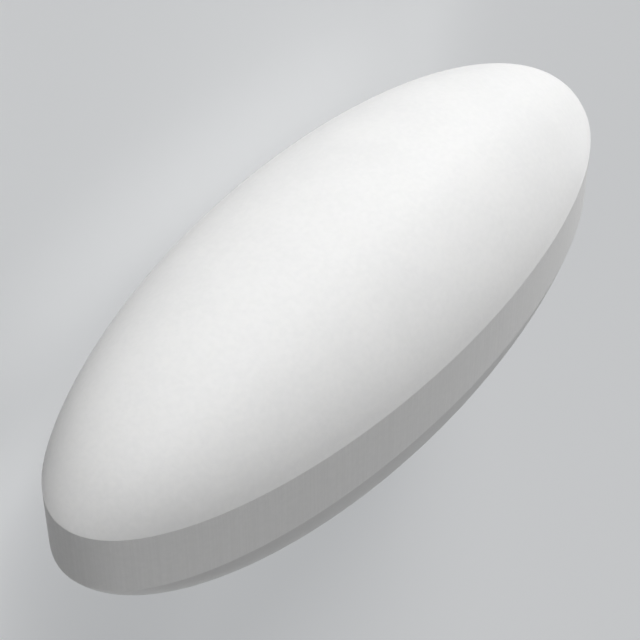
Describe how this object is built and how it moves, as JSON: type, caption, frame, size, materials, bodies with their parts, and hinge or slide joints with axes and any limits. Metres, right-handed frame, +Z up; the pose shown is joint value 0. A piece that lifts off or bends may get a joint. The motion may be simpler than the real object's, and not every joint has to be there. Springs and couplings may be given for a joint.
{
  "type": "magnetic stir bar",
  "caption": "Oval white stir bar with a straight belly band between two smooth domed cups and a rod magnet sealed inside, for round-bottom flasks.",
  "frame": {"origin": "centre of the bar, where its spin axis crosses its long axis", "axes": "+X along the bar from tip to tip, +Y through the two cups, +Z up across the belly band: the bar lies on its belly band"},
  "size_m": [0.0538, 0.02, 0.0196],
  "materials": {
    "jacket": "smooth satin white PTFE, pressed and sintered",
    "magnet": "dark grey cast Alnico, ground round and sealed inside the jacket"
  },
  "bodies": {
    "root": {"jacket": "jacket", "magnet": "magnet"}
  },
  "joints": []
}
